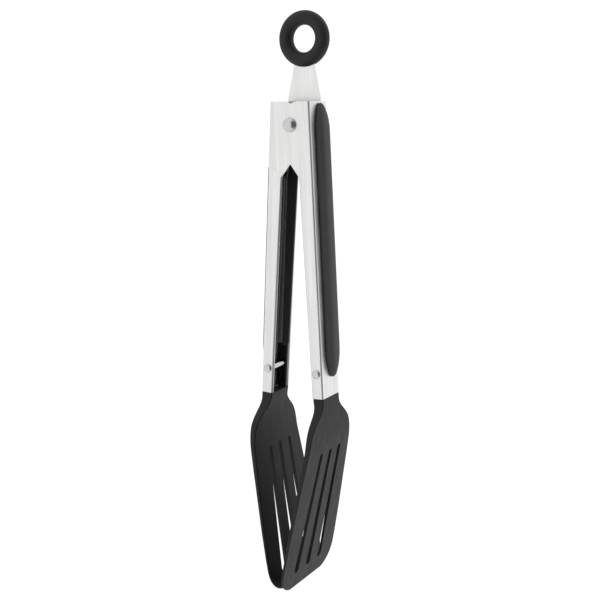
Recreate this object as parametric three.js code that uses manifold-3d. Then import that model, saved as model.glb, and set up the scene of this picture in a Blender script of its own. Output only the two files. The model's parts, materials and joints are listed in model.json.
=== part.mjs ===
// Spring loaded kitchen tongs with a pull-ring lock and two slotted turner blades.
// Millimetres, +Z up. The origin is the centre of the hanging ring; the tongs hang below it.
import * as THREE from 'three';
import { mergeVertices } from 'three/addons/utils/BufferGeometryUtils.js';
import Module from 'manifold-3d';

// Layout. X is the way the arms open, Y runs along the pivot, front is -Y.
const pivotZ = -43.2; // pivot axis below the ring centre
const midY = -6.5; // middle plane of the arms; the pull tab lies off it, at Y = 0
const splay = THREE.MathUtils.degToRad(2.82); // each arm's lean when closed
const gap = 0.3; // clearance between pieces that nest

// Arms, in a frame at the pivot whose Z follows the arm and whose X points outwards
const sheet = 0.8;
const armWidth = 18.4; // over the flanges, along Y
const spineX = 11.8; // pivot axis to the outer face of the spine
const bendRadius = 1.1;
const headTop = 11.7; // above the pivot
const armBottom = -141.8;
const flangeDepthBottom = 6.6;
const lipRadius = 0.9;
const notchApex = -19.5; // V cut-out below the pivot
const notchFoot = -25.8;
const notchFootHalf = 4.9;
const seamRadius = 25; // the outer ears end, and the inner arm widens, on this arc

// Pivot
const pinRadius = 2.1;
const pinHoleRadius = 2.4;
const pinHeadRadius = 3.6;
const pinHeadHeight = 2.2;
const coilRadius = 4.7;
const wireRadius = 0.7;
const coilTurns = 3.5;
const coilPitch = 1.9;

// Pull tab and ring
const ringRadius = 10.5;
const ringSection = 3.65;
const tabThickness = 1.0;
const tabTravel = 9.3;
const tabNeckHalf = 6.1;
const tabShoulderHalf = 9.5;

// Grips and liners
const gripHalfWidth = 5.2;
const gripShift = 1.0; // the grip sits this far behind the arm's middle
const gripTop = 10.3;
const gripBottom = -131.6;
const gripHeight = 4.3;
const studRadius = 2.4;
const studHeights = [-20, -62, -104];
const cheekHalf = 7.1; // thin cheeks that line the flanges, inside the rolled edges
const cheekWall = 1.0;
const linerTop = -14;
const linerWebBottom = -27;
const linerBottom = -117.5;

// Blades
const tangTop = -119.5;
const bladeRivetX = 8.4;
const bladeRivetZ = -128.6;
const bladeRivetRadius = 1.8;
const bladeTip = -246.9;
const bladeCorner = 13;
const bladeTipHalf = 28.2;
const slotTop = -171.5;
const slotBottom = -238.3;
const slotTopRadius = 1.5; // the slots widen towards the tip
const slotBottomRadius = 2.2;

// Colours
const steelColour = 0xd9dadb;
const nylonColour = 0x26282a;
const gripColour = 0x3c3e40;
const siliconeColour = 0x2b2c2e;
const wireColour = 0x55575a;

const wasm = await Module();
wasm.setup();

function toSolid(geometry) {
  const bare = geometry.clone();
  bare.deleteAttribute('normal');
  bare.deleteAttribute('uv');
  const merged = mergeVertices(bare, 1e-4);
  const vertProperties = new Float32Array(merged.attributes.position.array);
  const triVerts = new Uint32Array(merged.index.array);
  return new wasm.Manifold(new wasm.Mesh({ numProp: 3, vertProperties, triVerts }));
}

function toGeometry(solid) {
  const mesh = solid.getMesh();
  const geometry = new THREE.BufferGeometry();
  geometry.setAttribute('position', new THREE.BufferAttribute(mesh.vertProperties, 3));
  geometry.setIndex(new THREE.BufferAttribute(mesh.triVerts, 1));
  return geometry;
}

function join(...geometries) {
  return toGeometry(geometries.map(toSolid).reduce((a, b) => a.add(b)));
}

function cut(geometry, ...tools) {
  return toGeometry(tools.map(toSolid).reduce((a, b) => a.subtract(b), toSolid(geometry)));
}

function common(a, b) {
  return toGeometry(toSolid(a).intersect(toSolid(b)));
}

// An outline of [x, z] points made solid from y0 to y1
function slabXZ(points, y0, y1) {
  const shape = new THREE.Shape(points.map(([x, z]) => new THREE.Vector2(x, z)));
  const geometry = new THREE.ExtrudeGeometry(shape, { depth: y1 - y0, bevelEnabled: false });
  return geometry.rotateX(Math.PI / 2).translate(0, y1, 0);
}

// An outline of [y, z] points made solid from x0 to x1
function slabYZ(points, x0, x1) {
  const shape = new THREE.Shape(points.map(([y, z]) => new THREE.Vector2(y, z)));
  const geometry = new THREE.ExtrudeGeometry(shape, { depth: x1 - x0, bevelEnabled: false });
  const turn = new THREE.Matrix4().makeBasis(
    new THREE.Vector3(0, 1, 0), new THREE.Vector3(0, 0, 1), new THREE.Vector3(1, 0, 0));
  return geometry.applyMatrix4(turn).translate(x0, 0, 0);
}

// An outline of [x, y] points made solid from z0 to z1
function slabXY(points, z0, z1) {
  const shape = new THREE.Shape(points.map(([x, y]) => new THREE.Vector2(x, y)));
  return new THREE.ExtrudeGeometry(shape, { depth: z1 - z0, bevelEnabled: false }).translate(0, 0, z0);
}

// A round bar along Y
function barY(radius, y0, y1, x = 0, z = 0, sides = 28) {
  return new THREE.CylinderGeometry(radius, radius, y1 - y0, sides).translate(x, (y0 + y1) / 2, z);
}

function barBetween(from, to, radius, sides = 10) {
  const a = new THREE.Vector3(...from);
  const way = new THREE.Vector3(...to).sub(a);
  const turn = new THREE.Quaternion().setFromUnitVectors(new THREE.Vector3(0, 1, 0), way.clone().normalize());
  return new THREE.CylinderGeometry(radius, radius, way.length(), sides)
    .translate(0, way.length() / 2, 0).applyQuaternion(turn).translate(a.x, a.y, a.z);
}

// A low dome on the plane y = base, bulging towards sign * Y
function domeY(radius, height, base, sign, x = 0, z = 0) {
  const steps = 7;
  const profile = [new THREE.Vector2(0, 0), new THREE.Vector2(radius, 0)];
  for (let i = 1; i <= steps; i++) {
    const angle = (i / steps) * Math.PI / 2;
    const r = i === steps ? 0 : radius * Math.cos(angle);
    profile.push(new THREE.Vector2(r, 0.35 * height + 0.65 * height * Math.sin(angle)));
  }
  const geometry = new THREE.LatheGeometry(profile, 28);
  if (sign < 0) geometry.rotateX(Math.PI);
  return geometry.translate(x, base, z);
}

function arc(cx, cz, radius, fromDegrees, toDegrees, steps) {
  return Array.from({ length: steps + 1 }, (_, i) => {
    const angle = THREE.MathUtils.degToRad(fromDegrees + (toDegrees - fromDegrees) * i / steps);
    return [cx + radius * Math.cos(angle), cz + radius * Math.sin(angle)];
  });
}

// The same shape for the other arm: mirrored in X, with its faces turned out again
function mirrored(geometry) {
  const copy = geometry.clone().scale(-1, 1, 1);
  const index = copy.index.array;
  for (let i = 0; i < index.length; i += 3) [index[i], index[i + 1]] = [index[i + 1], index[i]];
  return copy;
}

// A point given level, about the pivot, in the frame of the leaning arm
function toArm([x, z]) {
  const c = Math.cos(splay);
  const s = Math.sin(splay);
  return [x * c + z * s, -x * s + z * c];
}

// Spine with its two bent corners, from z0 to z1
function spine(width, z0, z1) {
  const half = width / 2;
  const inner = bendRadius - sheet;
  const cx = spineX - bendRadius;
  const cy = half - bendRadius;
  const outline = [
    [cx, -half], ...arc(cx, -cy, bendRadius, -75, 0, 5), ...arc(cx, cy, bendRadius, 0, 75, 5), [cx, half],
    [cx, half - sheet], ...arc(cx, cy, inner, 75, 0, 4), ...arc(cx, -cy, inner, 0, -75, 4), [cx, -half + sheet],
  ];
  return slabXY(outline, z0, z1);
}

// The same outline on the front and the back flange
function flangePair(outline, outerHalf, thickness = sheet) {
  return [
    slabXZ(outline, -outerHalf, -outerHalf + thickness),
    slabXZ(outline, outerHalf - thickness, outerHalf),
  ];
}

// A point on the flank of the V cut-out, from 0 at its apex to 1 at its foot
function notchFlank(share) {
  return [notchFootHalf * share, notchApex + (notchFoot - notchApex) * share];
}

const freeEdgeTop = toArm(notchFlank(1));
const freeEdgeBottom = [spineX - flangeDepthBottom, armBottom];

// The rolled free edges, which run from the V cut-out to the bottom
function lips(bodyHalf) {
  return [-1, 1].map((side) => {
    const y = side * (bodyHalf - lipRadius);
    return barBetween([freeEdgeTop[0] + lipRadius, y, freeEdgeTop[1] + 0.6],
      [freeEdgeBottom[0] + lipRadius, y, armBottom], lipRadius);
  });
}

function rivetHole() {
  return barY(bladeRivetRadius + 0.15, -armWidth, armWidth, bladeRivetX, bladeRivetZ);
}

function studHoles() {
  return studHeights.map((z) => new THREE.CylinderGeometry(studRadius + gap, studRadius + gap, 4, 20)
    .rotateZ(Math.PI / 2).translate(spineX, 0, z));
}

// Right arm: its ears lie outside and reach right across the head
function outerArmGeometry() {
  const cx = spineX - bendRadius + 0.05;
  const seam = seamRadius - gap / 2;
  const edgeX = (z) => -(spineX / Math.cos(splay) - Math.tan(splay) * z) + 0.15;
  const leftFoot = Math.atan2(-Math.sqrt(seam ** 2 - 12.8 ** 2), -12.8) * 180 / Math.PI;
  const [flankX, flankZ] = notchFlank(0.8); // where the seam arc meets the left flank of the V
  const flankAngle = Math.atan2(flankZ, -flankX) * 180 / Math.PI;
  const outline = [
    toArm([spineX - bendRadius, headTop]), toArm([3.4, headTop]), toArm([0.4, headTop - 1.2]),
    toArm([-1.6, headTop]), toArm([edgeX(headTop), headTop]),
    ...arc(0, 0, seam, leftFoot, flankAngle, 6).map(toArm),
    toArm(notchFlank(0)), freeEdgeTop, freeEdgeBottom,
    [cx, armBottom], [cx, toArm([cx, headTop])[1]],
  ];
  const half = armWidth / 2;
  const top = toArm([spineX, headTop])[1];
  const body = join(spine(armWidth, armBottom, top), ...flangePair(outline, half), ...lips(half));
  return cut(body, barY(pinHoleRadius, -armWidth, armWidth), rivetHole(), ...studHoles());
}

// Left arm, drawn as if on the right: narrow ears that nest inside the other arm's, then a joggle
// out to the full width below the seam
function innerArmGeometry() {
  const half = armWidth / 2;
  const earHalf = half - sheet - gap;
  const cx = spineX - bendRadius + 0.05;
  const seam = seamRadius + gap / 2;
  const foot = freeEdgeTop;
  const at = (radius, x) => Math.atan2(-Math.sqrt(radius ** 2 - x ** 2), x) * 180 / Math.PI;
  const wide = [[cx, -20], toArm(notchFlank(0.6)), foot, freeEdgeBottom, [cx, armBottom]];
  const band = seam + 2.4;
  const joggle = [[cx, -20], [foot[0] + 0.4, -20], ...arc(0, 0, band, at(band, foot[0] + 0.4), at(band, cx), 5)];
  const ear = [
    [cx, toArm([cx, headTop])[1]], toArm([2, headTop]), ...arc(0, 0, 8.6, 100, 200, 8),
    toArm([-2, notchApex + 4]), toArm([1.2, notchApex + 0.4]),
    ...arc(0, 0, seam + 1.1, at(seam + 1.1, 5.2), at(seam + 1.1, cx), 5),
  ];
  const wideSpineTop = -Math.sqrt(seam ** 2 - spineX ** 2);
  const top = toArm([spineX, headTop])[1];
  const wideBody = cut(
    join(spine(armWidth, armBottom, wideSpineTop), ...flangePair(wide, half), ...lips(half),
      ...flangePair(joggle, half - 0.05, half - earHalf + sheet - 0.1)),
    barY(seam, -armWidth, armWidth, 0, 0, 72));
  const body = join(wideBody, spine(2 * earHalf, wideSpineTop - 2, top), ...flangePair(ear, earHalf));
  return cut(body, barY(pinHoleRadius, -armWidth, armWidth), rivetHole(), ...studHoles());
}

// Outline of the soft grip: parallel sides between two pointed arches
function gripOutline(inset) {
  const half = gripHalfWidth - inset;
  const top = gripTop - inset * 2;
  const bottom = gripBottom + inset * 1.5;
  const archTop = 13.5;
  const archBottom = 17;
  const archPoint = 1.1;
  const steps = 7;
  const side = [];
  for (let i = 1; i < steps; i++) {
    const t = i / steps;
    side.push([half * Math.sin(t * Math.PI / 2) ** archPoint, top - archTop * (1 - Math.cos(t * Math.PI / 2))]);
  }
  side.push([half, top - archTop], [half, bottom + archBottom]);
  for (let i = 1; i < steps; i++) {
    const t = i / steps;
    side.push([half * Math.cos(t * Math.PI / 2) ** archPoint, bottom + archBottom * (1 - Math.sin(t * Math.PI / 2))]);
  }
  const left = side.map(([y, z]) => [-y, z]).reverse();
  return [[0, top], ...side, [0, bottom], ...left].map(([y, z]) => [y + gripShift, z]);
}

// A solid through a stack of outlines with the same number of points
function loft(sections) {
  const count = sections[0].length;
  const positions = sections.flat(2);
  const index = [];
  for (let s = 0; s + 1 < sections.length; s++) {
    for (let i = 0; i < count; i++) {
      const a = s * count + i;
      const b = s * count + (i + 1) % count;
      index.push(a, b, a + count, b, b + count, a + count);
    }
  }
  const last = (sections.length - 1) * count;
  const flat = sections[0].map(([, y, z]) => new THREE.Vector2(y, z));
  for (const [a, b, c] of THREE.ShapeUtils.triangulateShape(flat, [])) {
    index.push(c, b, a, last + a, last + b, last + c);
  }
  const geometry = new THREE.BufferGeometry();
  geometry.setAttribute('position', new THREE.Float32BufferAttribute(positions, 3));
  geometry.setIndex(index);
  return geometry;
}

function gripGeometry() {
  const base = spineX + 0.12;
  const layers = [[0, 0], [2.0, 0.05], [3.1, 0.6], [3.8, 1.5], [gripHeight, 2.8]];
  const sections = layers.map(([height, inset]) =>
    gripOutline(inset).map(([y, z]) => [base + height, y, z]).reverse());
  const pad = toGeometry(toSolid(loft(sections)));
  const studs = studHeights.map((z) => new THREE.CylinderGeometry(studRadius, studRadius, sheet + 1, 20)
    .rotateZ(Math.PI / 2).translate(base - sheet / 2 + 0.4, 0, z));
  return join(pad, ...studs);
}

// Plastic lining inside the arm: a cheek along each flange, joined by a web at the top
function linerGeometry() {
  const back = spineX - sheet - gap;
  const front = back - 5.2;
  const cheekBack = back - 1.7;
  const outline = [[freeEdgeTop[0] - 0.6, linerWebBottom], [freeEdgeBottom[0] - 0.3, linerBottom],
    [cheekBack, linerBottom], [cheekBack, linerWebBottom + 3], [back, linerWebBottom], [back, linerTop],
    [front, linerTop], [front, linerWebBottom + 2]];
  const cheeks = [-cheekHalf, cheekHalf - cheekWall].map((y) => slabXZ(outline, y, y + cheekWall));
  const web = slabXZ([[back - cheekWall, linerWebBottom + 0.5], [back, linerWebBottom + 0.5], [back, linerTop],
    [back - cheekWall, linerTop]], -cheekHalf + 0.1, cheekHalf - 0.1);
  return join(...cheeks, web);
}

// Side view of a blade from the arm's end to the tip, in the arm's frame
const bladeTop = armBottom - gap;
const bladeOuter = [[11.7, bladeTop], [11.65, -148], [11.45, -153], [11.1, -158], [10.5, -163], [9.7, -168],
  [-9.7, bladeTip]];
const bladeInner = [[5.4, bladeTop], [5.7, -145], [6.6, -149], [7.2, -153.5], [7.4, -158.5], [7.2, -163],
  [6.8, -168], [-10.7, bladeTip]];

// Face view of a blade: [half width, height] from the arm's end down, then the round corners
function bladeFace() {
  const side = [[9.0, bladeTop], [8.9, -145], [9.6, -147.5], [12.4, -150.2], [16.6, -153.6], [19.6, -156.6],
    [21.3, -160], [22.4, -164], [23.3, -170], [24.5, -182], [25.8, -197], [27.2, -213], [28.0, -228]];
  side.push(...arc(bladeTipHalf - bladeCorner, bladeTip + bladeCorner, bladeCorner, 0, -90, 8));
  const left = side.map(([y, z]) => [-y, z]).reverse();
  return [...side, ...left].reverse();
}

// A slot with round ends, cut along X, that leans from y0 at its top to y1 at its bottom
function slot(y0, y1) {
  const z0 = slotTop - slotTopRadius;
  const z1 = slotBottom + slotBottomRadius;
  const lean = Math.atan2(y1 - y0, z0 - z1) * 180 / Math.PI;
  return slabYZ([...arc(y0, z0, slotTopRadius, lean, 180 + lean, 8),
    ...arc(y1, z1, slotBottomRadius, 180 + lean, 360 + lean, 8)], -25, 25);
}

// A forked tang inside the arm, a solid neck and the slotted plate
function bladeGeometry() {
  const back = spineX - sheet - gap;
  const front = freeEdgeBottom[0] + 0.7;
  const plate = common(slabXZ([...bladeOuter, ...[...bladeInner].reverse()], -40, 40),
    slabYZ(bladeFace(), -40, 40));
  const tang = [[front, armBottom - 1.2], [back, armBottom - 1.2], [back, tangTop + 1.5], [back - 1.5, tangTop],
    [front + 2, tangTop], [front, tangTop + 2]];
  const tines = [-cheekHalf, cheekHalf - cheekWall].map((y) => slabXZ(tang, y, y + cheekWall));
  const slots = [-1, 0, 1].map((k) => slot(2 + 10 * k, -0.8 + 12.6 * k));
  const bore = barY(bladeRivetRadius + 0.15, -armWidth, armWidth, bladeRivetX, bladeRivetZ);
  return cut(join(plate, ...tines), bore, ...slots);
}

function bladeRivetGeometry() {
  const face = armWidth / 2 + 0.1;
  return join(
    barY(bladeRivetRadius, -face - 0.2, face + 0.2, bladeRivetX, bladeRivetZ, 24),
    domeY(2.3, 1.0, -face, -1, bladeRivetX, bladeRivetZ),
    domeY(2.3, 0.9, face, 1, bladeRivetX, bladeRivetZ));
}

function pivotRivetGeometry() {
  const front = -armWidth / 2 - 0.1;
  const back = armWidth / 2 + 0.9;
  return join(
    barY(pinRadius, front - 0.2, back + 0.2),
    domeY(pinHeadRadius, pinHeadHeight, front, -1),
    domeY(3.3, 1.1, back, 1));
}

function pivotWasherGeometry() {
  const y = armWidth / 2 + 0.15;
  return cut(barY(4.6, y, y + 0.6), barY(pinRadius + 0.15, y - 1, y + 2));
}

function springBushGeometry() {
  return cut(barY(3.5, -7.0, 5.6), barY(pinRadius + 0.2, -9, 9));
}

// Torsion spring: a coil round the bush, and two legs that press the arms apart
function torsionSpringGeometry() {
  const coilStart = -4.4;
  const points = [new THREE.Vector3(9.6, coilStart, -33), new THREE.Vector3(8.1, coilStart, -22),
    new THREE.Vector3(5.6, coilStart, -7)];
  const steps = Math.round(coilTurns * 18);
  for (let i = 0; i <= steps; i++) {
    const turn = i / steps * coilTurns;
    const angle = turn * 2 * Math.PI;
    points.push(new THREE.Vector3(coilRadius * Math.cos(angle), coilStart + coilPitch * turn,
      coilRadius * Math.sin(angle)));
  }
  const coilEnd = coilStart + coilPitch * coilTurns;
  points.push(new THREE.Vector3(-5.6, coilEnd, -7), new THREE.Vector3(-8.1, coilEnd, -22),
    new THREE.Vector3(-9.6, coilEnd, -33));
  const path = new THREE.CatmullRomCurve3(points, false, 'centripetal');
  const section = new THREE.Shape(arc(0, 0, wireRadius, 0, 315, 7).map(([x, y]) => new THREE.Vector2(x, y)));
  const wire = new THREE.ExtrudeGeometry(section, { steps: steps + 24, extrudePath: path, bevelEnabled: false });
  return toGeometry(toSolid(wire));
}

// Flat wedge: an eye for the ring, a neck, wide shoulders that hold the arm tops apart, and a slot
// for the pivot rivet. Drawn level about the ring centre.
function pullTabGeometry() {
  const neckZ = -14.2;
  const shoulderZ = pivotZ + 13.6;
  const foot = pivotZ - 6.5;
  const eye = 11.2;
  const half = tabThickness / 2;
  const eyeFlankHalf = 5.6;
  const eyeFlankZ = -Math.sqrt(eye ** 2 - eyeFlankHalf ** 2);
  const right = [[eyeFlankHalf, eyeFlankZ], [tabNeckHalf, neckZ], [tabShoulderHalf, shoulderZ],
    [tabShoulderHalf - 0.1, shoulderZ - 3.2], [6.2, shoulderZ - 12], [6.2, foot + 2], [4.2, foot]];
  const outline = [...right, ...right.map(([x, z]) => [-x, z]).reverse()];
  const plate = join(slabXZ(outline, -half, half), barY(eye + 0.9, -half, half, 0, 0, 48));
  const slotHalf = pinRadius + 0.2;
  const pinSlot = slabXZ([...arc(0, pivotZ + tabTravel, slotHalf, 0, 180, 10),
    ...arc(0, pivotZ, slotHalf, 180, 360, 10)], -5, 5);
  return cut(plate, barY(eye - 2.0, -5, 5, 0, 0, 48), pinSlot);
}

// Silicone ring moulded over the tab's eye, with the groove the eye sits in
function hangingRingGeometry() {
  const torus = new THREE.TorusGeometry(ringRadius, ringSection, 18, 48).rotateX(Math.PI / 2);
  const clear = tabThickness / 2 + 0.25;
  const groove = cut(barY(12.1 + 0.3, -clear, clear, 0, 0, 48), barY(9.2 - 0.3, -5, 5, 0, 0, 48));
  const mouth = slabXZ([[-6.6, -10], [6.6, -10], [6.9, -16], [-6.9, -16]], -clear, clear);
  return cut(torus, groove, mouth);
}

function material(color, roughness, metalness) {
  return new THREE.MeshStandardMaterial({ color, roughness, metalness });
}

const steel = () => material(steelColour, 0.35, 1);
const nylon = () => material(nylonColour, 0.6, 0);

function add(group, name, geometry, finish) {
  const mesh = new THREE.Mesh(geometry, finish);
  mesh.name = name;
  group.add(mesh);
}

const tongs = new THREE.Group();
add(tongs, 'hanging_ring', hangingRingGeometry(), material(siliconeColour, 0.75, 0));
add(tongs, 'pull_tab', pullTabGeometry(), steel());

const pivot = new THREE.Group();
pivot.position.set(0, midY, pivotZ);
tongs.add(pivot);
add(pivot, 'pivot_rivet', pivotRivetGeometry(), steel());
add(pivot, 'pivot_washer', pivotWasherGeometry(), steel());
add(pivot, 'spring_bush', springBushGeometry(), nylon());
add(pivot, 'torsion_spring', torsionSpringGeometry(), material(wireColour, 0.45, 1));

const arms = [
  { name: 'outer', lean: -splay, side: (geometry) => geometry, arm: outerArmGeometry },
  { name: 'inner', lean: splay, side: mirrored, arm: innerArmGeometry },
];
for (const { name, lean, side, arm } of arms) {
  const group = new THREE.Group();
  group.rotation.y = lean;
  pivot.add(group);
  add(group, `${name}_arm`, side(arm()), steel());
  add(group, `${name}_grip`, side(gripGeometry()), material(gripColour, 0.8, 0));
  add(group, `${name}_liner`, side(linerGeometry()), nylon());
  add(group, `${name}_blade`, side(bladeGeometry()), nylon());
  add(group, `${name}_blade_rivet`, side(bladeRivetGeometry()), steel());
}

export default tongs;
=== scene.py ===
import json
import math

import bmesh
import bpy
from mathutils import Matrix, Vector


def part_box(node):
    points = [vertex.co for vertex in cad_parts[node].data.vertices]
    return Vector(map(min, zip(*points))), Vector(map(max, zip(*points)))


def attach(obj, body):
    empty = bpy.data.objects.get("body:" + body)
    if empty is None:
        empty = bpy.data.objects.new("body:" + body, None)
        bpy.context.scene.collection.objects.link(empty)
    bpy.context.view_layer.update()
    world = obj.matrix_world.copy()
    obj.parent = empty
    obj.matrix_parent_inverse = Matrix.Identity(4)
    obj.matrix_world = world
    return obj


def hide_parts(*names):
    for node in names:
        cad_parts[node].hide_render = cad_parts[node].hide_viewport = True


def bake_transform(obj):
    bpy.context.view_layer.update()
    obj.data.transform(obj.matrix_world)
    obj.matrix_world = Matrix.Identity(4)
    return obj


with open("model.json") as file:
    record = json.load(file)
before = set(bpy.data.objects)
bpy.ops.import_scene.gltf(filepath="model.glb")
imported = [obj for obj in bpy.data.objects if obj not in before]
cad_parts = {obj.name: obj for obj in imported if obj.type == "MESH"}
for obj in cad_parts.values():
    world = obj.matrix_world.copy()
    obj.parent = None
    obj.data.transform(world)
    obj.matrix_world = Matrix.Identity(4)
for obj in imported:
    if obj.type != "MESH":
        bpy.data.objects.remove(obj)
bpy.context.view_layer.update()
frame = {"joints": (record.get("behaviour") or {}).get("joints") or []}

mm = 0.001
hinge = next(j for j in frame["joints"] if j["name"] == "outer_hinge")
pivot = Vector(hinge["pos_m"])  # the rivet's axis, in the middle of the arms
armWidth = (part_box("outer_arm")[1].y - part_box("outer_arm")[0].y) / mm
rivetSpot = {"x": 8.4, "z": -128.6}  # the blade's rivet, in the arm's own frame about the pivot
rivetLow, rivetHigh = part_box("outer_blade_rivet")
rivetSeen = (rivetLow + rivetHigh) / 2 - pivot
splay = math.atan2(rivetSeen.x, -rivetSeen.z) - math.atan2(rivetSpot["x"], -rivetSpot["z"])
print(f"frame loaded, arms lean {math.degrees(splay):.2f} degrees each")

# places: millimetres in a piece's own frame, turned into metres in the tongs' frame
level = Matrix.Translation(pivot) @ Matrix.Scale(mm, 4)
ringPlace = Matrix.Scale(mm, 4)
outerSide = Matrix.Translation(pivot) @ Matrix.Rotation(-splay, 4, "Y") @ Matrix.Scale(mm, 4)
innerSide = (Matrix.Translation(pivot) @ Matrix.Rotation(splay, 4, "Y")
             @ Matrix.Diagonal((-1, 1, 1, 1)) @ Matrix.Scale(mm, 4))


def arc(cx, cy, radius, start, end, steps):
    points = []
    for i in range(steps + 1):
        angle = math.radians(start + (end - start) * i / steps)
        points.append((cx + radius * math.cos(angle), cy + radius * math.sin(angle)))
    return points


def between(table, at):
    # straight-line reading of a short table of (place, value), places falling
    for (p0, v0), (p1, v1) in zip(table, table[1:]):
        if at >= p1:
            share = (p0 - at) / (p0 - p1)
            return v0 + (v1 - v0) * max(0.0, share)
    return table[-1][1]


def smoothBetween(table, at):
    # the same table read along a soft curve, so that a moulded shape has no corners
    reach = 1.6
    return sum(between(table, at + reach * k) for k in (-1, -0.5, 0, 0.5, 1)) / 5


def loft(rings):
    # closed skin over rings that have the same number of points, with flat ends
    bm = bmesh.new()
    rows = [[bm.verts.new(p) for p in ring] for ring in rings]
    count = len(rings[0])
    for a, b in zip(rows, rows[1:]):
        for i in range(count):
            j = (i + 1) % count
            bm.faces.new((a[i], a[j], b[j], b[i]))
    bm.faces.new(list(reversed(rows[0])))
    bm.faces.new(rows[-1])
    return bm


def prism(outline, low, high, place):
    # an outline of pairs made solid between two levels; place turns (u, v, level) into x, y, z
    return loft([[place(u, v, w) for u, v in outline] for w in (low, high)])


def acrossY(u, v, w):
    return (u, w, v)


def acrossX(u, v, w):
    return (w, u, v)


def alongZ(u, v, w):
    return (u, v, w)


def lathe(profile, sides, x=0.0, z=0.0):
    # profile of (radius, y), turned about a line along Y; it starts and ends on that line
    bm = bmesh.new()
    rows = []
    for radius, y in profile:
        if radius < 1e-6:
            rows.append([bm.verts.new((x, y, z))])
            continue
        ring = []
        for i in range(sides):
            angle = 2 * math.pi * i / sides
            ring.append(bm.verts.new((x + radius * math.cos(angle), y, z + radius * math.sin(angle))))
        rows.append(ring)
    for a, b in zip(rows, rows[1:]):
        for i in range(sides):
            j = (i + 1) % sides
            if len(a) == 1:
                bm.faces.new((a[0], b[j], b[i]))
            elif len(b) == 1:
                bm.faces.new((a[i], a[j], b[0]))
            else:
                bm.faces.new((a[i], a[j], b[j], b[i]))
    return bm


def turnedRing(profile, sides):
    # the same for a profile that closes on itself, away from the line
    bm = bmesh.new()
    rows = []
    for radius, y in profile:
        angles = [2 * math.pi * i / sides for i in range(sides)]
        rows.append([bm.verts.new((radius * math.cos(a), y, radius * math.sin(a))) for a in angles])
    for a, b in zip(rows, rows[1:] + rows[:1]):
        for i in range(sides):
            j = (i + 1) % sides
            bm.faces.new((a[i], a[j], b[j], b[i]))
    return bm


def tube(path, radius, sides):
    # a round section carried along a path without twisting
    rings = []
    points = [Vector(p) for p in path]
    side = Vector((0, 1, 0))
    for i, point in enumerate(points):
        way = (points[min(i + 1, len(points) - 1)] - points[max(i - 1, 0)]).normalized()
        side = (side - way * side.dot(way)).normalized()
        up = way.cross(side)
        ring = []
        for k in range(sides):
            angle = 2 * math.pi * k / sides
            ring.append(point + side * radius * math.cos(angle) + up * radius * math.sin(angle))
        rings.append(ring)
    return loft(rings)


def roundedRectangle(low, high, halfWidth, cornerAcross, cornerDeep, steps=4):
    # section with x from low to high and y to either side, with its corners rounded as ellipses
    ring = []
    centres = [(high, 1, 1), (low, -1, 1), (low, -1, -1), (high, 1, -1)]
    for quarter, (x, sx, sy) in enumerate(centres):
        for i in range(steps + 1):
            angle = (quarter + i / steps) * math.pi / 2
            dx = abs(math.cos(angle)) - 1
            dy = abs(math.sin(angle)) - 1
            ring.append((x + sx * cornerDeep * dx, sy * (halfWidth + cornerAcross * dy)))
    return ring


def solid(bm, name="cutter"):
    bmesh.ops.recalc_face_normals(bm, faces=bm.faces)
    mesh = bpy.data.meshes.new(name)
    bm.to_mesh(mesh)
    bm.free()
    piece = bpy.data.objects.new(name, mesh)
    bpy.context.scene.collection.objects.link(piece)
    return piece


def applied(piece):
    # the piece with its modifiers made real
    bpy.context.view_layer.update()
    graph = bpy.context.evaluated_depsgraph_get()
    made = bpy.data.meshes.new_from_object(piece.evaluated_get(graph))
    old = piece.data
    piece.modifiers.clear()
    piece.data = made
    bpy.data.meshes.remove(old)
    return piece


def combine(piece, other, operation):
    change = piece.modifiers.new("combine", "BOOLEAN")
    change.operation = operation
    change.solver = "EXACT"
    change.object = other
    applied(piece)
    bpy.data.objects.remove(other)
    return piece


def softenEdges(piece, width, segments=2, angle=38):
    change = piece.modifiers.new("soften", "BEVEL")
    change.width = width
    change.segments = segments
    change.limit_method = "ANGLE"
    change.angle_limit = math.radians(angle)
    change.miter_outer = "MITER_ARC"
    return applied(piece)


def seat(piece, place, name, body, nodes, material, sharp=50):
    # puts a finished piece in the tongs' frame and says what it is there
    mesh = piece.data
    mesh.transform(place)
    bm = bmesh.new()
    bm.from_mesh(mesh)
    bmesh.ops.remove_doubles(bm, verts=bm.verts, dist=1e-7)
    bmesh.ops.recalc_face_normals(bm, faces=bm.faces)
    bm.to_mesh(mesh)
    bm.free()
    mesh.shade_smooth()
    mesh.set_sharp_from_angle(angle=math.radians(sharp))
    even = piece.modifiers.new("even shading", "WEIGHTED_NORMAL")
    even.keep_sharp = True
    even.weight = 80
    piece.name = name
    mesh.name = name
    mesh.materials.clear()
    mesh.materials.append(material)
    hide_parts(*nodes)
    if body:
        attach(piece, body)
    return piece


def hexColour(code):
    # sRGB hex to linear
    parts = [int(code[i:i + 2], 16) / 255 for i in (0, 2, 4)]
    linear = [p / 12.92 if p <= 0.04045 else ((p + 0.055) / 1.055) ** 2.4 for p in parts]
    return (*linear, 1.0)


def addNode(tree, kind, settings=None, links=None):
    # one node: settings are its attributes or its inputs' values, links feed its inputs
    node = tree.nodes.new(kind)
    for key, value in (settings or {}).items():
        if isinstance(key, str) and hasattr(node, key):
            setattr(node, key, value)
        else:
            node.inputs[key].default_value = value
    for key, source in (links or {}).items():
        tree.links.new(source, node.inputs[key])
    return node


def newMaterial(name, finish):
    # an empty material with one shader, given the values that are the same all over
    material = bpy.data.materials.new(name)
    material.use_nodes = True
    tree = material.node_tree
    tree.nodes.clear()
    shader = addNode(tree, "ShaderNodeBsdfPrincipled", finish)
    addNode(tree, "ShaderNodeOutputMaterial", links={"Surface": shader.outputs[0]})
    return material, tree, shader


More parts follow.
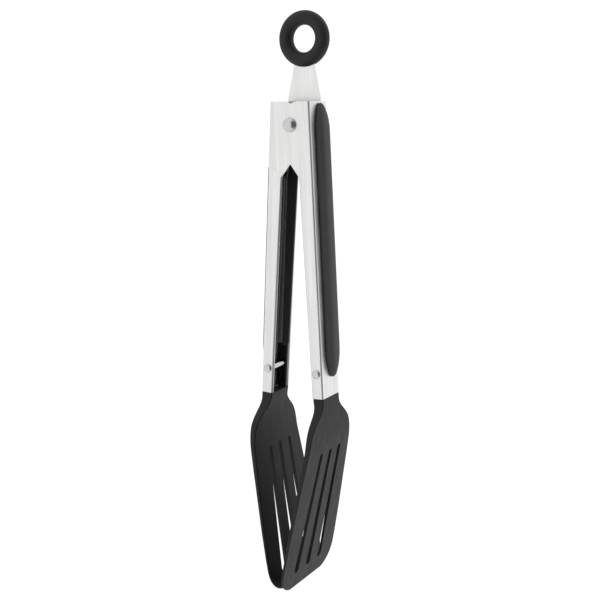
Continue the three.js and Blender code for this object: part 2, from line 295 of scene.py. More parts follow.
def millimetres(tree, lean=0.0, stretch=(1, 1, 1)):
    # place on the piece in millimetres, turned to follow a leaning arm
    place = addNode(tree, "ShaderNodeTexCoord").outputs["Object"]
    turned = addNode(tree, "ShaderNodeMapping", {"Rotation": (0, lean, 0), "Scale": (1 / mm,) * 3},
                     {"Vector": place})
    return addNode(tree, "ShaderNodeVectorMath", {"operation": "MULTIPLY", 1: stretch},
                   {0: turned.outputs[0]}).outputs[0]


def brushedStainless(name, lean, finish):
    # stainless sheet with a lengthwise brush: soft long streaks that blur what it mirrors
    material, tree, shader = newMaterial(name, {"Metallic": 1.0, "Roughness": finish["rough"]})
    thin = 1 / finish["grainWidth"]
    along = 1 / finish["grainLength"]
    grain = addNode(tree, "ShaderNodeTexNoise", {"Scale": 1.0, "Detail": 4.0, "Roughness": 0.65},
                    {"Vector": millimetres(tree, lean, (thin, thin, along))})
    bands = addNode(tree, "ShaderNodeTexNoise", {"Scale": 1.0, "Detail": 2.0, "Roughness": 0.5},
                    {"Vector": millimetres(tree, lean, (0.35, 0.35, 0.012))})
    handled = addNode(tree, "ShaderNodeTexNoise", {"Scale": 0.06, "Detail": 3.0, "Roughness": 0.55},
                      {"Vector": millimetres(tree)})
    streak = addNode(tree, "ShaderNodeMapRange", {"From Min": 0.3, "From Max": 0.7},
                     {"Value": grain.outputs[0]})
    sheen = addNode(tree, "ShaderNodeMapRange", {"From Min": 0.3, "From Max": 0.7, "To Max": 0.4},
                    {"Value": bands.outputs[0]})
    share = addNode(tree, "ShaderNodeMath", {"operation": "MULTIPLY_ADD", 1: 0.6},
                    {0: streak.outputs[0], 2: sheen.outputs[0]})
    tone = addNode(tree, "ShaderNodeMix",
                   {"data_type": "RGBA", 6: hexColour(finish["low"]), 7: hexColour(finish["high"])},
                   {0: share.outputs[0]})
    tree.links.new(tone.outputs[2], shader.inputs["Base Color"])
    wear = addNode(tree, "ShaderNodeMapRange",
                   {"From Min": 0.3, "From Max": 0.7, "To Min": finish["rough"] - 0.07,
                    "To Max": finish["rough"] + 0.03}, {"Value": handled.outputs[0]})
    rough = addNode(tree, "ShaderNodeMath", {"operation": "MULTIPLY_ADD", 1: 0.10},
                    {0: streak.outputs[0], 2: wear.outputs[0]})
    tree.links.new(rough.outputs[0], shader.inputs["Roughness"])
    bump = addNode(tree, "ShaderNodeBump", {"Strength": finish["bump"], "Distance": 0.03 * mm},
                   {"Height": grain.outputs[0]})
    tree.links.new(bump.outputs[0], shader.inputs["Normal"])
    return material


def polishedSteel(name, finish):
    # cold-formed rivet head: near mirror, with a few soft marks from the forming tool
    material, tree, shader = newMaterial(name, {"Metallic": 1.0})
    marks = addNode(tree, "ShaderNodeTexNoise", {"Scale": 1.4, "Detail": 3.0, "Roughness": 0.6},
                    {"Vector": millimetres(tree)})
    fine = addNode(tree, "ShaderNodeTexNoise", {"Scale": 6.0, "Detail": 2.0}, {"Vector": millimetres(tree)})
    share = addNode(tree, "ShaderNodeMapRange", {"From Min": 0.3, "From Max": 0.7},
                    {"Value": marks.outputs[0]})
    tone = addNode(tree, "ShaderNodeMix",
                   {"data_type": "RGBA", 6: hexColour(finish["low"]), 7: hexColour(finish["high"])},
                   {0: share.outputs[0]})
    tree.links.new(tone.outputs[2], shader.inputs["Base Color"])
    rough = addNode(tree, "ShaderNodeMath", {"operation": "MULTIPLY_ADD", 1: 0.10, 2: finish["rough"] - 0.04},
                    {0: share.outputs[0]})
    tree.links.new(rough.outputs[0], shader.inputs["Roughness"])
    bump = addNode(tree, "ShaderNodeBump", {"Strength": 0.12, "Distance": 0.02 * mm},
                   {"Height": fine.outputs[0]})
    tree.links.new(bump.outputs[0], shader.inputs["Normal"])
    return material


def mouldedPlastic(name, finish, lean=0.0):
    # moulded from a spark-eroded tool: a fine even bite, with faint flow lines along the part
    material, tree, shader = newMaterial(
        name, {"IOR": finish["ior"], "Specular IOR Level": finish["specular"]})
    bite = addNode(tree, "ShaderNodeTexNoise",
                   {"Scale": 1 / finish["biteSize"], "Detail": 3.0, "Roughness": 0.6},
                   {"Vector": millimetres(tree)})
    flow = addNode(tree, "ShaderNodeTexNoise", {"Scale": 1.0, "Detail": 3.0, "Roughness": 0.6},
                   {"Vector": millimetres(tree, lean, (0.45, 0.45, 0.05))})
    fibre = addNode(tree, "ShaderNodeTexNoise", {"Scale": 1.0, "Detail": 2.0, "Roughness": 0.7},
                    {"Vector": millimetres(tree, lean, (3.2, 3.2, 0.55))})
    speck = addNode(tree, "ShaderNodeMapRange", {"From Min": 0.45, "From Max": 0.75},
                    {"Value": fibre.outputs[0]})
    drift = addNode(tree, "ShaderNodeMapRange", {"From Min": 0.3, "From Max": 0.7},
                    {"Value": flow.outputs[0]})
    calm = addNode(tree, "ShaderNodeMath", {"operation": "MULTIPLY", 1: 0.6}, {0: drift.outputs[0]})
    share = addNode(tree, "ShaderNodeMath", {"operation": "MULTIPLY_ADD", 1: finish["fibre"]},
                    {0: speck.outputs[0], 2: calm.outputs[0]})
    tone = addNode(tree, "ShaderNodeMix",
                   {"data_type": "RGBA", 6: hexColour(finish["low"]), 7: hexColour(finish["high"])},
                   {0: share.outputs[0]})
    tree.links.new(tone.outputs[2], shader.inputs["Base Color"])
    wear = addNode(tree, "ShaderNodeMath", {"operation": "MULTIPLY_ADD", 1: 0.12, 2: finish["rough"] - 0.07},
                   {0: drift.outputs[0]})
    rough = addNode(tree, "ShaderNodeMath", {"operation": "MULTIPLY_ADD", 1: 0.06},
                    {0: bite.outputs[0], 2: wear.outputs[0]})
    tree.links.new(rough.outputs[0], shader.inputs["Roughness"])
    bump = addNode(tree, "ShaderNodeBump", {"Strength": finish["bump"], "Distance": 0.05 * mm},
                   {"Height": bite.outputs[0]})
    tree.links.new(bump.outputs[0], shader.inputs["Normal"])
    return material


armSteel = {"low": "D2D2D1", "high": "EDEDEC", "rough": 0.36, "bump": 0.25,
            "grainWidth": 0.55, "grainLength": 38}  # real brush lines are about 0.1 mm, drawn wider to show
tabSteel = {"low": "D2D2D1", "high": "EAEAE9", "rough": 0.27, "bump": 0.15,
            "grainWidth": 0.5, "grainLength": 26}
rivetSteel = {"low": "B4B5B6", "high": "CFD0D1", "rough": 0.14}
wireSteel = {"low": "55575A", "high": "7B7D80", "rough": 0.34}
gripRubber = {"low": "3E3F40", "high": "4B4C4D", "rough": 0.62, "specular": 0.5, "ior": 1.48,
              "biteSize": 0.45, "bump": 0.35, "fibre": 0.15}
ringSilicone = {"low": "1E1F20", "high": "272829", "rough": 0.58, "specular": 0.42, "ior": 1.42,
                "biteSize": 0.5, "bump": 0.2, "fibre": 0.1}
bladeNylon = {"low": "151617", "high": "1F2021", "rough": 0.52, "specular": 0.27, "ior": 1.53,
              "biteSize": 0.4, "bump": 0.3, "fibre": 0.45}  # glass fibres lie along the blade and dull it
# the lining's dark grey is partly a real lining and partly painted shade for the channel's dark inside
linerShadeNylon = {"low": "3A3B3C", "high": "464748", "rough": 0.55, "specular": 0.45, "ior": 1.53,
              "biteSize": 0.4, "bump": 0.25, "fibre": 0.3}

outerSteelMaterial = brushedStainless("Brushed stainless, outer arm", splay, armSteel)
innerSteelMaterial = brushedStainless("Brushed stainless, inner arm", -splay, armSteel)
tabMaterial = brushedStainless("Satin stainless, pull tab", 0.0, tabSteel)
rivetMaterial = polishedSteel("Polished steel, formed rivets", rivetSteel)
wireMaterial = polishedSteel("Drawn spring steel, phosphated", wireSteel)
gripMaterial = mouldedPlastic("Thermoplastic rubber, soft touch", gripRubber)
ringMaterial = mouldedPlastic("Silicone rubber, moulded", ringSilicone)
outerNylonMaterial = mouldedPlastic("Glass-filled nylon, outer side", bladeNylon, splay)
innerNylonMaterial = mouldedPlastic("Glass-filled nylon, inner side", bladeNylon, -splay)
# this lining material is dark partly as painted shade inside the arm's channel
linerShadeMaterial = mouldedPlastic("Nylon lining, dark for painted channel shade", linerShadeNylon)
print("materials made")

viewpoint = {"azimuth": 29.56, "pitch": 10.24, "roll": -0.396, "distance": 565.3,
             "lens": 64.30, "aim": (0.136, 0.0, -91.33)}  # millimetres, aim counted from the pivot


def makeCamera(v):
    a = math.radians(v["azimuth"])
    e = math.radians(v["pitch"])
    r = math.radians(v["roll"])
    forward = Vector((-math.sin(a) * math.cos(e), math.cos(a) * math.cos(e), -math.sin(e)))
    flatRight = Vector((math.cos(a), math.sin(a), 0))
    flatUp = flatRight.cross(forward)
    right = flatRight * math.cos(r) + flatUp * math.sin(r)
    up = flatUp * math.cos(r) - flatRight * math.sin(r)
    data = bpy.data.cameras.new("camera")
    data.sensor_width = 36.0
    data.lens = v["lens"]
    camera = bpy.data.objects.new("camera", data)
    bpy.context.scene.collection.objects.link(camera)
    turn = Matrix((right, up, -forward)).transposed().to_4x4()
    spot = level @ Vector(v["aim"]) - forward * v["distance"] * mm
    camera.matrix_world = Matrix.Translation(spot) @ turn
    bpy.context.scene.camera = camera


studio = {"white": 1.08, "dark": 0.14, "cardAzimuth": 50.0, "cardElevation": 5.0, "cardFull": 30.0,
          "cardFade": 62.0}


def makeLight(s):
    # white all round, with one soft dark card to the right of the front, which rounds the metal
    world = bpy.data.worlds.new("studio")
    bpy.context.scene.world = world
    world.use_nodes = True
    tree = world.node_tree
    tree.nodes.clear()
    a = math.radians(s["cardAzimuth"])
    e = math.radians(s["cardElevation"])
    card = (math.sin(a) * math.cos(e), -math.cos(a) * math.cos(e), math.sin(e))
    way = addNode(tree, "ShaderNodeTexCoord").outputs["Generated"]
    unit = addNode(tree, "ShaderNodeVectorMath", {"operation": "NORMALIZE"}, {0: way})
    facing = addNode(tree, "ShaderNodeVectorMath", {"operation": "DOT_PRODUCT", 1: card},
                     {0: unit.outputs[0]})
    share = addNode(tree, "ShaderNodeMapRange",
                    {"interpolation_type": "SMOOTHSTEP",
                     "From Min": math.cos(math.radians(s["cardFade"])),
                     "From Max": math.cos(math.radians(s["cardFull"])),
                     "To Min": s["white"], "To Max": s["dark"]},
                    {"Value": facing.outputs["Value"]})
    seen = addNode(tree, "ShaderNodeLightPath").outputs["Is Camera Ray"]
    strength = addNode(tree, "ShaderNodeMix", {"data_type": "FLOAT", 3: s["white"]},
                       {0: seen, 2: share.outputs[0]})
    back = addNode(tree, "ShaderNodeBackground", {"Color": (1, 1, 1, 1)}, {"Strength": strength.outputs[0]})
    addNode(tree, "ShaderNodeOutputWorld", links={"Surface": back.outputs[0]})
    bpy.context.scene.view_settings.view_transform = "Standard"


makeCamera(viewpoint)
makeLight(studio)
print("camera and light made")

arm = {"sheet": 0.8, "spine": 11.8, "bend": 1.1, "headTop": 11.7, "bottom": -141.8, "freeBottom": 5.2,
       "hem": 1.0, "notchApex": -19.5, "notchFoot": -25.8, "notchHalf": 4.9, "seam": 25.0, "seamGap": 0.04,
       "gap": 0.3, "pinHole": 2.4, "rivetHole": 1.95, "studHole": 2.7, "studs": (-20, -62, -104),
       "soften": 0.09, "joggle": 2.4, "earLap": 1.1, "earRound": 8.6}
half = armWidth / 2


def toArm(x, z):
    # a point that is level about the pivot, in the frame of the leaning arm
    c = math.cos(splay)
    s = math.sin(splay)
    return (x * c + z * s, -x * s + z * c)


def notchFlank(share):
    # down the V cut-out's flank, from its apex to its foot, where the free edge starts
    return (arm["notchHalf"] * share, arm["notchApex"] + (arm["notchFoot"] - arm["notchApex"]) * share)


freeTop = toArm(*notchFlank(1))


def channel(width, low, high, flangeEnd):
    # sheet bent to a U: spine, two round corners, and flanges that reach to flangeEnd
    w = width / 2
    outer = arm["bend"]
    inner = arm["bend"] - arm["sheet"]
    cx = arm["spine"] - outer
    cy = w - outer
    outline = [(flangeEnd, -w), *arc(cx, -cy, outer, -90, 0, 10), *arc(cx, cy, outer, 0, 90, 10),
               (flangeEnd, w), (flangeEnd, w - arm["sheet"]), *arc(cx, cy, inner, 90, 0, 8),
               *arc(cx, -cy, inner, 0, -90, 8), (flangeEnd, -w + arm["sheet"])]
    return solid(prism(outline, low, high, alongZ))


def bar(radius, x=0.0, z=0.0, reach=14.0, sides=64):
    return solid(lathe([(0, -reach), (radius, -reach), (radius, reach), (0, reach)], sides, x, z))


def hems(piece):
    # the free edges are rolled over, from the foot of the V down to the end
    for side in (-1, 1):
        y = side * (half - arm["hem"] + 0.015)
        path = [(freeTop[0] + arm["hem"], y, freeTop[1] + 0.5),
                (arm["freeBottom"] + arm["hem"], y, arm["bottom"])]
        combine(piece, solid(tube(path, arm["hem"], 20)), "UNION")
    return piece


def drilled(piece):
    combine(piece, bar(arm["pinHole"]), "DIFFERENCE")
    combine(piece, bar(arm["rivetHole"], rivetSpot["x"], rivetSpot["z"], sides=32), "DIFFERENCE")
    for z in arm["studs"]:
        stud = prism(arc(0, z, arm["studHole"], 0, 352.5, 47), arm["spine"] - 3, arm["spine"] + 3, acrossX)
        combine(piece, solid(stud), "DIFFERENCE")
    return piece


def cutToOutline(piece, outline):
    return combine(piece, solid(prism(outline, -20, 20, acrossY)), "INTERSECT")


def degreesAt(x, z):
    return math.degrees(math.atan2(z, x))


def flangeEdge():
    # the flange's free edge from the V's foot to the arm's end, where the hem's middle line runs
    right = arm["spine"] + 1
    return [freeTop, (freeTop[0] + arm["hem"], freeTop[1] - 1.2),
            (arm["freeBottom"] + arm["hem"], arm["bottom"]), (right, arm["bottom"])]


def makeOuterArm():
    # its ears lie outside and reach right across the head
    seam = arm["seam"] - arm["seamGap"] / 2
    footX = -12.8
    farX, farZ = notchFlank(0.8)  # where the seam meets the V's left flank
    farEdge = -(arm["spine"] / math.cos(splay) - math.tan(splay) * arm["headTop"]) + 0.15
    foot = degreesAt(footX, -math.sqrt(seam ** 2 - footX ** 2))
    top = arm["headTop"]
    outline = [toArm(arm["spine"] + 1, top), toArm(4.1, top), toArm(3.4, top - 0.15), toArm(0.6, top - 1.15),
               toArm(0.1, top - 1.1), toArm(-1.5, top), toArm(farEdge, top)]
    outline += [toArm(*p) for p in arc(0, 0, seam, foot, degreesAt(-farX, farZ), 16)]
    outline += [toArm(*notchFlank(0)), *flangeEdge()]
    piece = channel(armWidth, arm["bottom"] - 1, arm["headTop"] + 3, -16)
    cutToOutline(piece, outline)
    drilled(hems(piece))
    softenEdges(piece, arm["soften"])
    seat(piece, outerSide, "outer_arm_sheet", "outer_side", ["outer_arm"], outerSteelMaterial)


def makeInnerArm():
    # narrow ears that nest inside the other arm's, and a joggle out to full width below the seam
    earHalf = half - arm["sheet"] - arm["gap"]
    seam = arm["seam"] + arm["seamGap"] / 2
    right = arm["spine"] + 1
    top = arm["headTop"]
    wideTop = -18
    wide = [(right, wideTop), toArm(*notchFlank(0.6)), *flangeEdge()]
    piece = cutToOutline(channel(armWidth, arm["bottom"] - 1, -10, -16), wide)
    hems(piece)
    step = seam + arm["joggle"]
    inX = freeTop[0] + 0.4
    outX = arm["spine"] - arm["bend"]
    joggle = [(outX, wideTop), (inX, wideTop),
              *arc(0, 0, step, degreesAt(inX, -math.sqrt(step ** 2 - inX ** 2)),
                   degreesAt(outX, -math.sqrt(step ** 2 - outX ** 2)), 10)]
    for side in (-1, 1):
        low, high = sorted((side * (half - 0.05), side * (earHalf - arm["sheet"] + 0.05)))
        combine(piece, solid(prism(joggle, low, high, acrossY)), "UNION")
    combine(piece, bar(seam, sides=144), "DIFFERENCE")
    edge = seam + arm["earLap"]
    ear = [toArm(right, top), toArm(2, top), *arc(0, 0, arm["earRound"], 100, 200, 14),
           toArm(-2, arm["notchApex"] + 4), toArm(1.2, arm["notchApex"] + 0.4),
           *arc(0, 0, edge, degreesAt(5.2, -math.sqrt(edge ** 2 - 5.2 ** 2)),
                degreesAt(arm["spine"], -math.sqrt(edge ** 2 - arm["spine"] ** 2)), 10),
           (right, -24.2)]
    ears = cutToOutline(channel(2 * earHalf, -34, top + 3, -16), ear)
    combine(piece, ears, "UNION")
    drilled(piece)
    softenEdges(piece, arm["soften"])
    seat(piece, innerSide, "inner_arm_sheet", "inner_side", ["inner_arm"], innerSteelMaterial)


makeOuterArm()
makeInnerArm()
print("arms bent, cut and hemmed")

grip = {"halfWidth": 5.2, "shift": 1.0, "top": 10.3, "bottom": -131.6, "archTop": 13.5, "archBottom": 17.0,
        "point": 1.1, "wall": 2.0, "height": 4.3, "lift": 0.12, "stud": 2.4, "thinEnds": 0.3,
        "thinReach": 16.0, "crownIn": 0.985, "crownBlunt": 2.4, "crownRise": 0.62, "crownSpread": 1.35}
cheek = {"half": 7.1, "wall": 1.0, "depth": 5.2, "top": -14.0, "bottom": -117.5, "webBottom": -27.0,
         "drawnIn": 1.7}


def gripRing(inset, rise):
    # a pointed arch at each end of straight sides, drawn in by the inset and thinner towards the points;
    # it sits a little behind the arm's middle
    w = grip["halfWidth"] - inset
    top = grip["top"] - 2 * inset
    bottom = grip["bottom"] + 1.5 * inset
    shoulder = grip["top"] - grip["archTop"]
    hip = grip["bottom"] + grip["archBottom"]
    steps = 16
    side = []
    for i in range(1, steps + 1):
        t = i / steps * math.pi / 2
        side.append((w * math.sin(t) ** grip["point"], shoulder + (top - shoulder) * math.cos(t)))
    straight = 8
    for i in range(1, straight):
        side.append((w, shoulder + (hip - shoulder) * i / straight))
    for i in range(steps):
        t = i / steps * math.pi / 2
        side.append((w * math.cos(t) ** grip["point"], hip - (hip - bottom) * math.sin(t)))
    ring = []
    for y, z in [(0, top), *side, (0, bottom), *[(-y, z) for y, z in reversed(side)]]:
        fromEnd = min(1.0, min(grip["top"] - z, z - grip["bottom"]) / grip["thinReach"])
        thin = 1 - grip["thinEnds"] * (1 - fromEnd) ** 2
        ring.append((arm["spine"] + grip["lift"] + rise * thin, y + grip["shift"], z))
    return ring


def makeGrip(place, side):
    foot = 0.6 * grip["wall"]
    rings = [gripRing(0.25, 0.0), gripRing(0.0, 0.25), gripRing(0.0, foot)]
    steps = 14
    for i in range(1, steps + 1):
        share = i / steps * grip["crownIn"]  # how far in from the side, as a share of the half width
        rise = (1 - (1 - share) ** grip["crownBlunt"]) ** grip["crownRise"]
        inset = grip["halfWidth"] * share ** grip["crownSpread"]
        rings.append(gripRing(inset, foot + (grip["height"] - foot) * rise))
    piece = solid(loft(rings))
    under = arm["spine"] + grip["lift"]
    for z in arm["studs"]:
        stud = prism(arc(0, z, grip["stud"], 0, 345, 23), under - arm["sheet"], under + 0.8, acrossX)
        combine(piece, solid(stud), "UNION")
    seat(piece, place, f"{side}_grip_pad", f"{side}_side", [f"{side}_grip"], gripMaterial, 60)


def makeLinerAndShade(place, side):
    # a cheek along each flange, joined by a web at the top only, so the spine shows bare between them; the
    # cheeks' dark grey is partly a real lining and partly painted shade, standing for the shade inside the
    # channel
    back = arm["spine"] - arm["sheet"] - arm["gap"]
    front = back - cheek["depth"]
    cheekBack = back - cheek["drawnIn"]
    low = cheek["bottom"]
    web = [(back - cheek["wall"], cheek["webBottom"]), (back, cheek["webBottom"]), (back, cheek["top"]),
           (back - cheek["wall"], cheek["top"])]
    outline = [(freeTop[0] - 0.6, cheek["webBottom"]), (arm["freeBottom"] - 0.3, low), (cheekBack, low),
               (cheekBack, cheek["webBottom"] + 3), (back, cheek["webBottom"]), (back, cheek["top"]),
               (front, cheek["top"]), (front, cheek["webBottom"] + 2)]
    piece = solid(prism(web, -cheek["half"] + 0.2, cheek["half"] - 0.2, acrossY))
    for y in (-cheek["half"], cheek["half"] - cheek["wall"]):
        combine(piece, solid(prism(outline, y, y + cheek["wall"], acrossY)), "UNION")
    softenEdges(piece, 0.2, 3)
    seat(piece, place, f"{side}_liner_and_shade_shell", f"{side}_side", [f"{side}_liner"], linerShadeMaterial)


for side, place in (("outer", outerSide), ("inner", innerSide)):
    makeGrip(place, side)
    makeLinerAndShade(place, side)
print("grips and liners made")

blade = {"tip": -246.9, "corner": 13.0, "tangTop": -119.5, "edge": 0.5, "bevel": 0.8,
         "slotTop": -171.5, "slotTopRadius": 1.5, "slotBottom": -238.3, "slotBottomRadius": 2.2,
         "slots": ((-8, -13.4), (2, -0.8), (12, 11.8)), "soften": 0.2}  # each slot's y, top and bottom
bladeOuter = [(-142.1, 11.7), (-148, 11.65), (-153, 11.45), (-158, 11.1), (-163, 10.5), (-168, 9.7),
              (-246.9, -9.7)]  # (height, x) of the face that looks out, in the arm's frame
bladeInner = [(-142.1, 5.4), (-145, 5.7), (-149, 6.6), (-153.5, 7.2), (-158.5, 7.4), (-163, 7.2),
              (-168, 6.8), (-246.9, -10.7)]
bladeHalf = [(-142.1, 9.0), (-145, 8.9), (-147.5, 9.6), (-150.2, 12.4), (-153.6, 16.6), (-156.6, 19.6),
             (-160, 21.3), (-164, 22.4), (-170, 23.3), (-182, 24.5), (-197, 25.8), (-213, 27.2), (-228, 28.0),
             (-246.9, 28.2)]


def bladeSection(z):
    # one level slice: how far out, how far in, and how wide
    outer = smoothBetween(bladeOuter, z)
    inner = smoothBetween(bladeInner, z)
    w = smoothBetween(bladeHalf, z)
    above = z - blade["tip"]
    if above < blade["corner"]:
        w -= blade["corner"] - math.sqrt(blade["corner"] ** 2 - (blade["corner"] - above) ** 2)
    if above < blade["edge"]:
        thin = math.sqrt(1 - (1 - above / blade["edge"]) ** 2) * 0.92 + 0.08
        middle = (outer + inner) / 2
        outer = middle + (outer - middle) * thin
        inner = middle + (inner - middle) * thin
    deep = min(blade["edge"], 0.48 * (outer - inner))
    return [(x, y, z) for x, y in roundedRectangle(inner, outer, w, blade["bevel"], deep, 6)]


def makeBlade(place, side, material):
    # a slotted plate and a solid neck, with a forked tang that lies along the arm's flanges
    back = arm["spine"] - arm["sheet"] - arm["gap"]
    front = arm["freeBottom"] + 0.7
    top = arm["bottom"] - arm["gap"]
    levels = [top - d for d in (0, 0.3, 0.8, 1.6, 2.6, 3.8, 5, 6.2, 7.5, 8.8, 10, 11.3, 12.6, 14, 15.5, 17,
                                19, 21, 23, 25, 27, 29, 32)]
    z = levels[-1]
    while z > blade["tip"] + blade["corner"] + 5:
        z -= 4.5
        levels.append(z)
    for i in range(13):
        angle = i / 12 * math.pi / 2
        levels.append(blade["tip"] + blade["corner"] * (1 - math.sin(angle)) + 0.02 * (1 - i / 12))
    levels += [blade["tip"] + 0.35, blade["tip"] + 0.15]
    rings = [bladeSection(z) for z in sorted(set(round(v, 3) for v in levels), reverse=True)]
    piece = solid(loft(rings))
    tang = [(front, arm["bottom"] - 1.2), (back, arm["bottom"] - 1.2), (back, blade["tangTop"] + 1.5),
            (back - 1.5, blade["tangTop"]), (front + 2, blade["tangTop"]), (front, blade["tangTop"] + 2)]
    for y in (-cheek["half"], cheek["half"] - cheek["wall"]):
        combine(piece, solid(prism(tang, y, y + cheek["wall"], acrossY)), "UNION")
    combine(piece, bar(arm["rivetHole"], rivetSpot["x"], rivetSpot["z"], sides=32), "DIFFERENCE")
    r0 = blade["slotTopRadius"]
    r1 = blade["slotBottomRadius"]
    z0 = blade["slotTop"] - r0
    z1 = blade["slotBottom"] + r1
    for y0, y1 in blade["slots"]:
        tilt = math.degrees(math.atan2(y1 - y0, z0 - z1))
        slot = [*arc(y0, z0, r0, tilt, 180 + tilt, 14), *arc(y1, z1, r1, 180 + tilt, 360 + tilt, 14)]
        combine(piece, solid(prism(slot, -25, 25, acrossX)), "DIFFERENCE")
    softenEdges(piece, blade["soften"], 3, 42)
    seat(piece, place, f"{side}_blade_moulding", f"{side}_side", [f"{side}_blade"], material, 45)


bladeRivet = {"shank": 1.8, "head": 2.3, "rise": 1.0}
pivotRivet = {"shank": 2.1, "head": 3.6, "rise": 2.2, "tail": 3.3, "tailRise": 1.1, "stack": 0.9}


def headProfile(radius, rise, base, sign, steps=14):
    # a formed head: a low wall, then a dome, from its edge to the middle
    wall = 0.28 * rise
    points = [(radius - 0.12, base), (radius, base + sign * 0.1), (radius, base + sign * wall)]
    for i in range(1, steps + 1):
        angle = i / steps * math.pi / 2
        points.append((radius * math.cos(angle) if i < steps else 0.0,
                       base + sign * (wall + (rise - wall) * math.sin(angle))))
    return points


def rivet(frontHead, backHead, shank, frontBase, backBase, x=0.0, z=0.0):
    frontPoints = headProfile(*frontHead, frontBase, -1)
    backPoints = headProfile(*backHead, backBase, 1)
    profile = [*reversed(frontPoints), (shank, frontBase), (shank, backBase), *backPoints]
    return solid(lathe(profile, 48, x, z))


def makeBladeRivet(place, side):
    base = half + 0.03
    piece = rivet((bladeRivet["head"], bladeRivet["rise"]), (bladeRivet["head"], 0.9 * bladeRivet["rise"]),
                  bladeRivet["shank"], -base, base, rivetSpot["x"], rivetSpot["z"])
    seat(piece, place, f"{side}_blade_rivet_formed", f"{side}_side", [f"{side}_blade_rivet"],
         rivetMaterial)


for side, place, material in (("outer", outerSide, outerNylonMaterial),
                              ("inner", innerSide, innerNylonMaterial)):
    makeBlade(place, side, material)
    makeBladeRivet(place, side)
print("blades and their rivets made")

washer = {"radius": 4.6, "bore": 2.25, "thick": 0.6, "lift": 0.15, "chamfer": 0.12}
bush = {"radius": 3.5, "bore": 2.3, "front": -7.0, "back": 5.6, "chamfer": 0.3}
spring = {"coil": 4.7, "wire": 0.7, "turns": 3.5, "pitch": 1.9, "start": -4.4,
          "leg": ((5.6, -7.0), (8.1, -22.0), (9.6, -33.0))}


def tubeProfile(inner, outer, low, high, chamfer):
    return [(inner, low + chamfer), (inner + chamfer, low), (outer - chamfer, low),
            (outer, low + chamfer), (outer, high - chamfer), (outer - chamfer, high),
            (inner + chamfer, high), (inner, high - chamfer)]


def makePivot():
    backBase = half + pivotRivet["stack"]
    piece = rivet((pivotRivet["head"], pivotRivet["rise"]), (pivotRivet["tail"], pivotRivet["tailRise"]),
                  pivotRivet["shank"], -half - 0.03, backBase)
    seat(piece, level, "pivot_rivet_formed", "pivot", ["pivot_rivet"], rivetMaterial)
    low = half + washer["lift"]
    rim = tubeProfile(washer["bore"], washer["radius"], low, low + washer["thick"], washer["chamfer"])
    piece = solid(turnedRing(rim, 64))
    seat(piece, level, "pivot_washer_pressed", "pivot", ["pivot_washer"], rivetMaterial)
    wall = tubeProfile(bush["bore"], bush["radius"], bush["front"], bush["back"], bush["chamfer"])
    piece = solid(turnedRing(wall, 48))
    seat(piece, level, "spring_bush_turned", "pivot", ["spring_bush"], outerNylonMaterial)


def smoothPath(points, steps):
    # a soft curve through given points
    path = []
    ends = [points[0] * 2 - points[1], *points, points[-1] * 2 - points[-2]]
    for a, b, c, d in zip(ends, ends[1:], ends[2:], ends[3:]):
        for i in range(steps):
            t = i / steps
            path.append(0.5 * (2 * b + (c - a) * t + (2 * a - 5 * b + 4 * c - d) * t ** 2
                               + (3 * b - a - 3 * c + d) * t ** 3))
    path.append(points[-1])
    return path


def makeSpring():
    # coil on the bush with one leg to the outer arm; the other leg is its own piece
    stepsPerTurn = 36
    steps = round(spring["turns"] * stepsPerTurn)
    end = spring["start"] + spring["pitch"] * spring["turns"]
    coil = []
    for i in range(steps + 1):
        turn = i / stepsPerTurn
        angle = 2 * math.pi * turn
        coil.append(Vector((spring["coil"] * math.cos(angle), spring["start"] + spring["pitch"] * turn,
                            spring["coil"] * math.sin(angle))))
    legs = []
    for sign, y, last in ((1, spring["start"], coil[0]), (-1, end, coil[-1])):
        legs.append(smoothPath([last, *[Vector((sign * x, y, z)) for x, z in spring["leg"]]], 12))
    pieces = ((legs[0][::-1] + coil[1:], "torsion_spring_coil", "outer_side"),
              (legs[1], "torsion_spring_leg", "inner_side"))
    for path, name, body in pieces:
        piece = solid(tube(path, spring["wire"], 14))
        seat(piece, level, name, None, ["torsion_spring"], wireMaterial)
        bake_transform(piece)


makePivot()
makeSpring()
print("pivot and spring made")

tab = {"thick": 1.0, "eye": 12.1, "eyeHole": 9.2, "neckHalf": 6.1, "neckZ": -14.2, "shoulderHalf": 9.5,
       "shoulderDrop": 13.6, "shoulderHeight": 3.2, "waistHalf": 6.2, "waistDrop": 12.0,
       "footHalf": 4.2, "footDrop": -6.5, "travel": 9.3, "slot": 2.3, "soften": 0.16}
ring = {"radius": 10.5, "section": 3.65, "square": 2.25, "partingLine": 0.05}


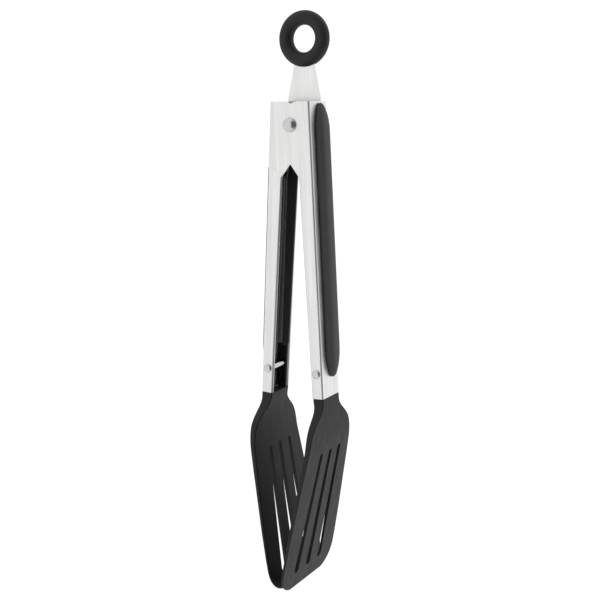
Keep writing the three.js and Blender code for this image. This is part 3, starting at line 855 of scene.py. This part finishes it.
def makeTab():
    pin = pivot.z / mm
    shoulder = pin + tab["shoulderDrop"]
    foot = pin + tab["footDrop"]
    w = tab["shoulderHalf"]
    waist = tab["waistHalf"]
    eyeFlank = 5.6
    right = [(eyeFlank, -math.sqrt((tab["eye"] - 0.9) ** 2 - eyeFlank ** 2)), (tab["neckHalf"], tab["neckZ"]),
             (w - 0.25, shoulder + 0.9), (w, shoulder), (w - 0.1, shoulder - tab["shoulderHeight"]),
             (waist, shoulder - tab["waistDrop"]), (waist, foot + 2), (tab["footHalf"], foot)]
    outline = right + [(-x, z) for x, z in reversed(right)]
    t = tab["thick"] / 2
    piece = solid(prism(outline, -t, t, acrossY))
    combine(piece, solid(lathe([(0, -t), (tab["eye"], -t), (tab["eye"], t), (0, t)], 96)), "UNION")
    combine(piece, bar(tab["eyeHole"], sides=96), "DIFFERENCE")
    pinSlot = [*arc(0, pin + tab["travel"], tab["slot"], 0, 180, 16), *arc(0, pin, tab["slot"], 180, 360, 16)]
    combine(piece, solid(prism(pinSlot, -5, 5, acrossY)), "DIFFERENCE")
    softenEdges(piece, tab["soften"])
    seat(piece, ringPlace, "pull_tab_plate", "pull_ring", ["pull_tab"], tabMaterial)


def makeRing():
    # moulded round the tab's eye: soft square section, with the mould's parting line inside and out
    profile = []
    steps = 40
    power = 2 / ring["square"]
    for i in range(steps):
        angle = 2 * math.pi * i / steps
        c = math.cos(angle)
        s = math.sin(angle)
        reach = ring["section"] + (ring["partingLine"] if i in (0, steps // 2) else 0.0)
        r = math.copysign(abs(c) ** power, c) * reach
        y = math.copysign(abs(s) ** power, s) * ring["section"]
        profile.append((ring["radius"] + r, y))
    piece = solid(turnedRing(profile, 128))
    clear = tab["thick"] / 2 + 0.05
    mouth = [(-6.5, -11), (6.5, -11), (6.8, -16), (-6.8, -16)]
    combine(piece, solid(prism(mouth, -clear, clear, acrossY)), "DIFFERENCE")
    groove = tubeProfile(tab["eyeHole"] - 0.1, tab["eye"] + 0.1, -clear, clear, 0.02)
    combine(piece, solid(turnedRing(groove, 96)), "DIFFERENCE")
    seat(piece, ringPlace, "hanging_ring_moulding", "pull_ring", ["hanging_ring"],
         ringMaterial, 60)


makeTab()
makeRing()
print("pull tab and ring made")
